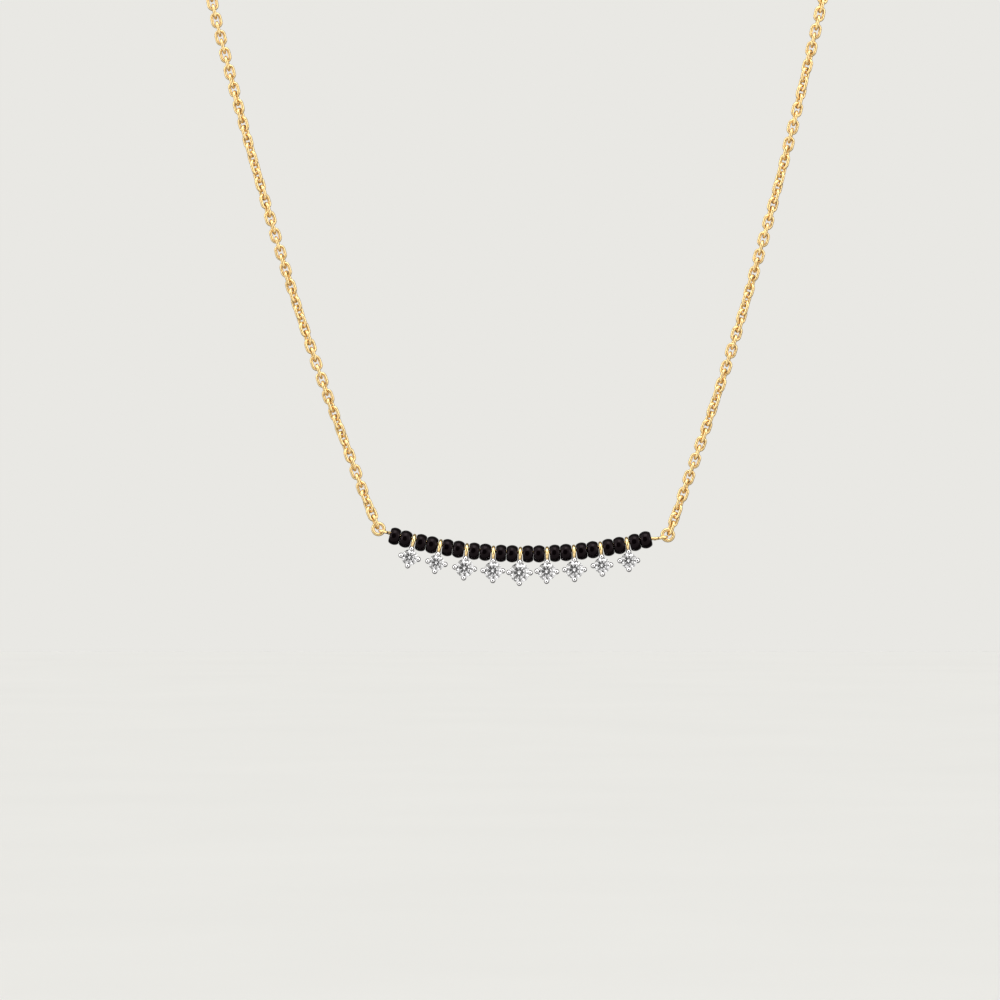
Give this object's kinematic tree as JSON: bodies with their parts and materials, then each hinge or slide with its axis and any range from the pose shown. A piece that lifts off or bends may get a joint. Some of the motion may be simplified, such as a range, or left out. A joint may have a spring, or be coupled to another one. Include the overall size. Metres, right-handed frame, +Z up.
{
  "type": "mangalsutra necklace",
  "caption": "Hanging necklace: a curved bar of black seed beads in pairs with small claw-set stone drops between them, on a fine oval cable chain with a ring clasp.",
  "frame": {"origin": "middle of the neck opening, halfway from the front strands to the nape and level with where the chain lies on the sides of the neck", "axes": "+Z up as it hangs, -Y towards the viewer who faces the wearer, +X to that viewer's right"},
  "size_m": [0.101, 0.0766, 0.1358],
  "materials": {
    "yellow_gold": "polished yellow gold alloy",
    "white_gold": "polished rhodium-plated white gold; the bail rings are yellow gold",
    "black_glass": "glossy opaque black glass",
    "clear_stone": "colourless brilliant-cut stone"
  },
  "bodies": {
    "root": {"bead_01": "black_glass", "bead_02": "black_glass", "bead_03": "black_glass", "bead_04": "black_glass", "bead_05": "black_glass", "bead_06": "black_glass", "bead_07": "black_glass", "bead_08": "black_glass", "bead_09": "black_glass", "bead_10": "black_glass", "bead_11": "black_glass", "bead_12": "black_glass", "bead_13": "black_glass", "bead_14": "black_glass", "bead_15": "black_glass", "bead_16": "black_glass", "bead_17": "black_glass", "bead_18": "black_glass", "bead_19": "black_glass", "bead_20": "black_glass", "drop_1": "white_gold", "drop_2": "white_gold", "drop_3": "white_gold", "drop_4": "white_gold", "drop_5": "white_gold", "drop_6": "white_gold", "drop_7": "white_gold", "drop_8": "white_gold", "drop_9": "white_gold", "stone_1": "clear_stone", "stone_2": "clear_stone", "stone_3": "clear_stone", "stone_4": "clear_stone", "stone_5": "clear_stone", "stone_6": "clear_stone", "stone_7": "clear_stone", "stone_8": "clear_stone", "stone_9": "clear_stone", "bar_wire": "yellow_gold", "jump_ring_left": "yellow_gold", "jump_ring_right": "yellow_gold", "chain_left": "yellow_gold", "chain_right": "yellow_gold", "chain_back_left": "yellow_gold", "chain_back_right": "yellow_gold", "clasp": "yellow_gold", "end_ring": "yellow_gold"}
  },
  "joints": []
}
